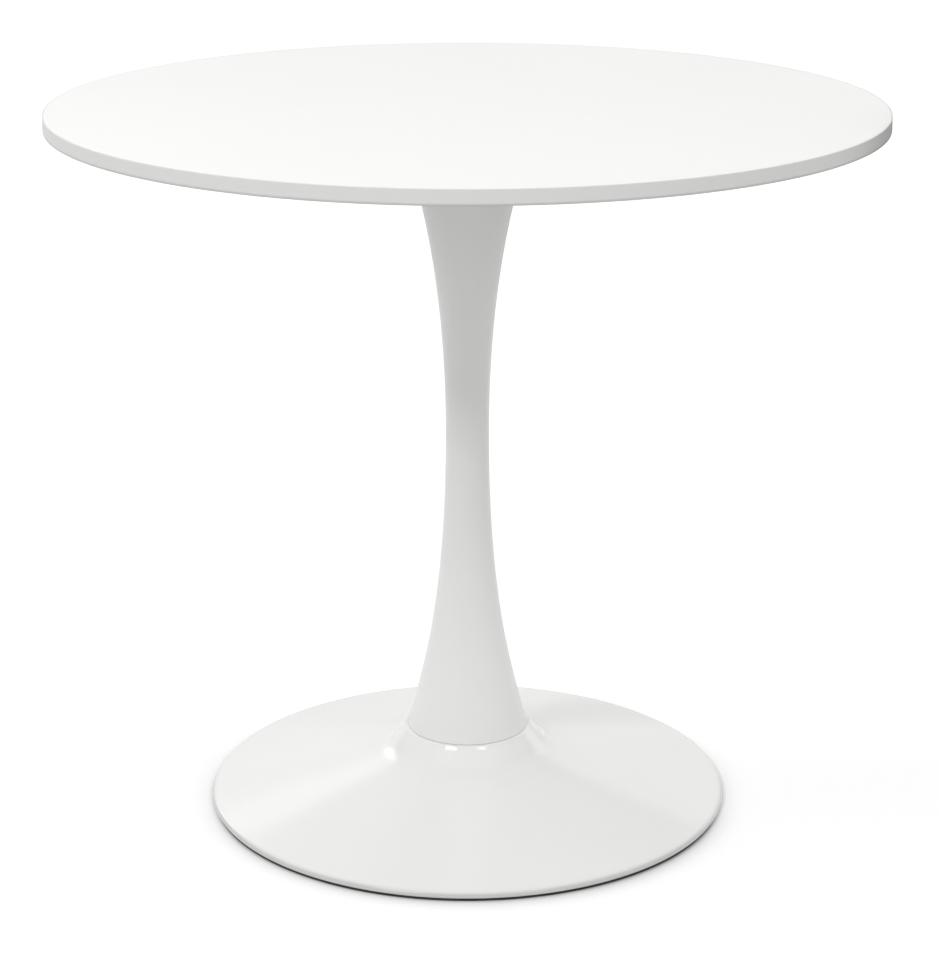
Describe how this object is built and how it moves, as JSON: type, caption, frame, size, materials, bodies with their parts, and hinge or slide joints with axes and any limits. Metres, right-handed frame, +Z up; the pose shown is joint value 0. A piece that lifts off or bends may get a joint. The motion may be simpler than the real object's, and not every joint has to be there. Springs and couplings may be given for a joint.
{
  "type": "round pedestal table",
  "caption": "Free-standing round table: a thin laminated top on a waisted hollow stem that meets a wide, shallow-coned round base with a black floor ring.",
  "frame": {"origin": "on the floor, under the middle of the table", "axes": "+Z up along the stem, +X to the right and -Y towards the viewer of the picture"},
  "size_m": [0.85, 0.85, 0.75],
  "materials": {
    "top_decor": "satin white laminate",
    "edge_strip": "satin white edging strip",
    "backing_sheet": "plain white balancing sheet",
    "board_core": "raw fibreboard",
    "stem_paint": "satin white powder coat",
    "base_paint": "glossy white paint",
    "plate_paint": "white powder coat",
    "zinc_hardware": "bright zinc plate",
    "insert_brass": "plain brass",
    "black_rubber": "matt black"
  },
  "bodies": {
    "root": {"top_core": "board_core", "top_laminate": "top_decor", "backing_laminate": "backing_sheet", "edge_band": "edge_strip", "insert_nuts": "insert_brass", "mounting_plate": "plate_paint", "plate_boss": "plate_paint", "plate_bolts": "zinc_hardware", "plate_washers": "zinc_hardware", "locating_ring": "plate_paint", "stem": "stem_paint", "stem_foot_ring": "zinc_hardware", "neck_gasket": "black_rubber", "base_shell": "base_paint", "rim_ring": "black_rubber", "clamp_hub": "zinc_hardware", "clamp_washer": "zinc_hardware", "spring_washer": "zinc_hardware", "clamp_nut": "zinc_hardware", "jam_nut": "zinc_hardware", "tie_rod": "zinc_hardware"}
  },
  "joints": []
}
